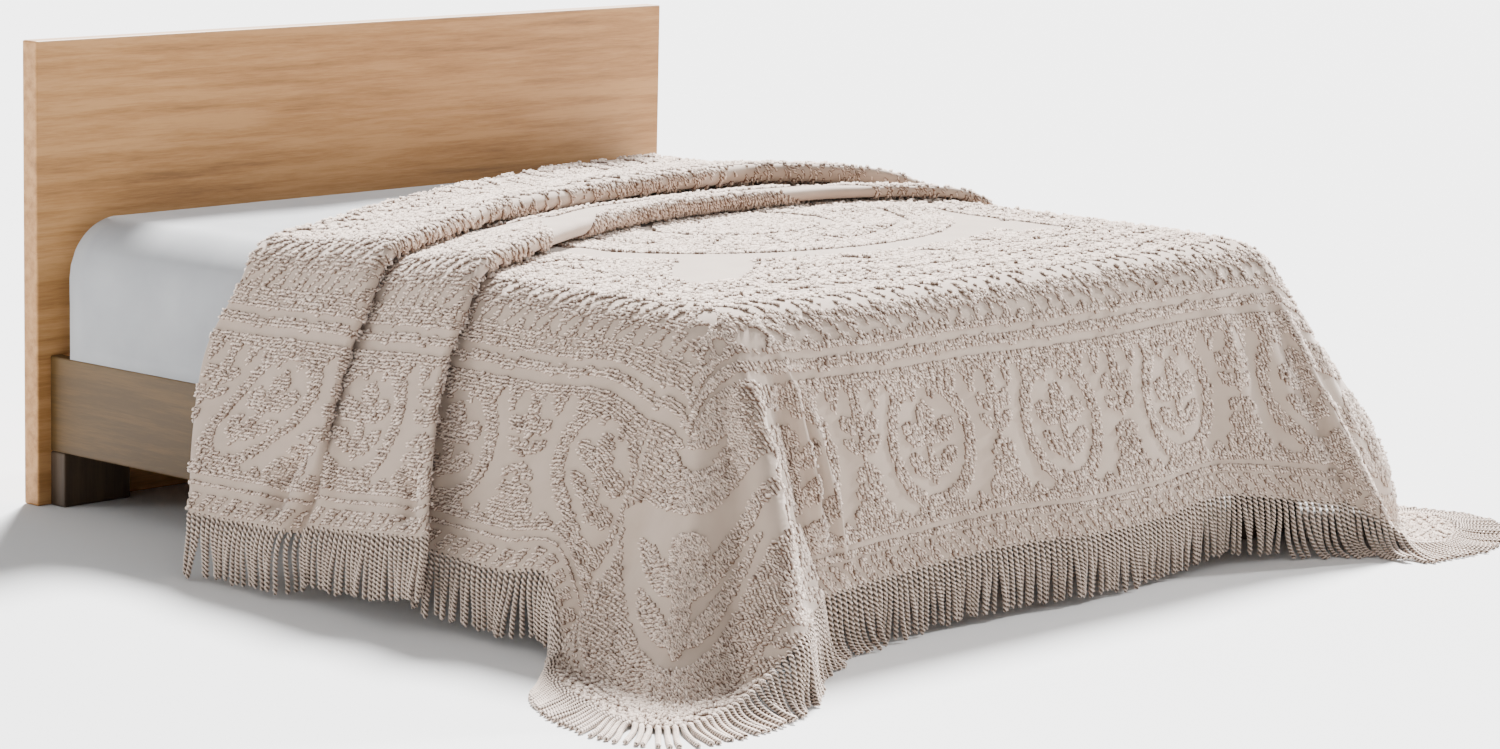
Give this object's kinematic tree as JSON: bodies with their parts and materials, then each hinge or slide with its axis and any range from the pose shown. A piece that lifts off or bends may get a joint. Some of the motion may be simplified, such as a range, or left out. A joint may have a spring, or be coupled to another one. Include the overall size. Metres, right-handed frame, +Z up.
{
  "type": "chenille bedspread on a platform bed",
  "caption": "King-size chenille bedspread with a corded fringe, drawn up in two folds over a made platform bed with a plain headboard.",
  "frame": {"origin": "on the floor under the middle of the whole object's box", "axes": "+X across the bed (the near side is -X), +Y towards the headboard, +Z up"},
  "size_m": [3.0089, 2.6016, 1.05],
  "materials": {
    "chenille_cotton": "tufted cotton pile on a plain weave",
    "white_sheeting": "smooth woven cotton",
    "pale_oak": "satin, open grain",
    "black_wood": "painted, satin"
  },
  "bodies": {
    "root": {"bedspread": "chenille_cotton", "fringe": "chenille_cotton", "mattress": "white_sheeting", "headboard": "pale_oak", "rail_near": "pale_oak", "rail_far": "pale_oak", "rail_foot": "pale_oak", "deck": "pale_oak", "leg_head_near": "black_wood", "leg_head_far": "black_wood", "leg_foot_near": "black_wood", "leg_foot_far": "black_wood"}
  },
  "joints": []
}
